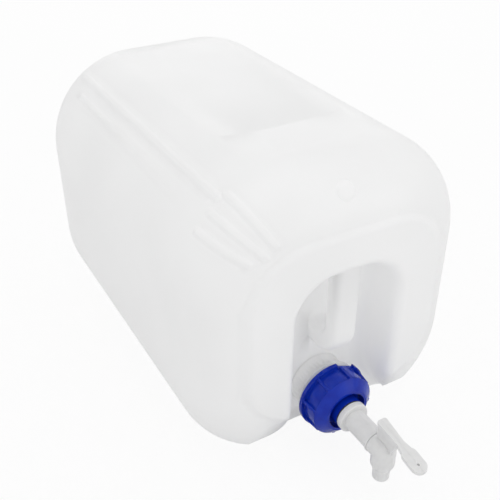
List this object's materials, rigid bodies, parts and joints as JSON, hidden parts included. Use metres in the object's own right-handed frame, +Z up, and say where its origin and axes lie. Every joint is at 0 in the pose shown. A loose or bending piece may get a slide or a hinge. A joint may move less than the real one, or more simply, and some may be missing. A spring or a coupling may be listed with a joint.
{
  "type": "jerrican carboy with dispensing tap",
  "caption": "Stackable rectangular plastic carboy lying on its side, with a moulded-in handle, a ribbed screw cap and a lever tap with a turning spout.",
  "frame": {"origin": "centre of the resting face, under the middle of the canister's length", "axes": "+Z up from the resting face, -Y along the neck's axis towards the cap, +X to the right seen from the cap end"},
  "size_m": [0.25, 0.4818, 0.2696],
  "materials": {
    "natural_hdpe": "satin, milky translucent",
    "blue_polypropylene": "gloss",
    "natural_polypropylene": "satin",
    "liner_foam": "matt",
    "seal_rubber": "matt"
  },
  "bodies": {
    "canister": {"canister_body": "natural_hdpe"},
    "liner": {"cap_liner": "liner_foam"},
    "cap": {"screw_cap": "blue_polypropylene", "tap_barrel": "natural_polypropylene", "flange_washer": "seal_rubber", "nut_washer": "seal_rubber", "lock_nut": "natural_polypropylene"},
    "rotor": {"tap_rotor": "natural_polypropylene", "seal_ring_1": "seal_rubber", "seal_ring_2": "seal_rubber"}
  },
  "joints": [
    {"name": "cap_rise", "type": "slide", "parent": "canister", "child": "liner", "axis": [0, -1, 0], "range_m": [0, 0.01]},
    {"name": "cap_turn", "type": "hinge", "parent": "liner", "child": "cap", "pos_m": [0, -0.1875, 0.0495], "axis": [0, -1, 0], "range_deg": [0, 900]},
    {"name": "tap_turn", "type": "hinge", "parent": "cap", "child": "rotor", "pos_m": [0, -0.2473, 0.0495], "axis": [0, -1, 0], "range_deg": [-90, 90]}
  ],
  "couplings": [
    {"joint": "cap_turn", "follows": "cap_rise", "rad_per_m": 1570.8}
  ]
}
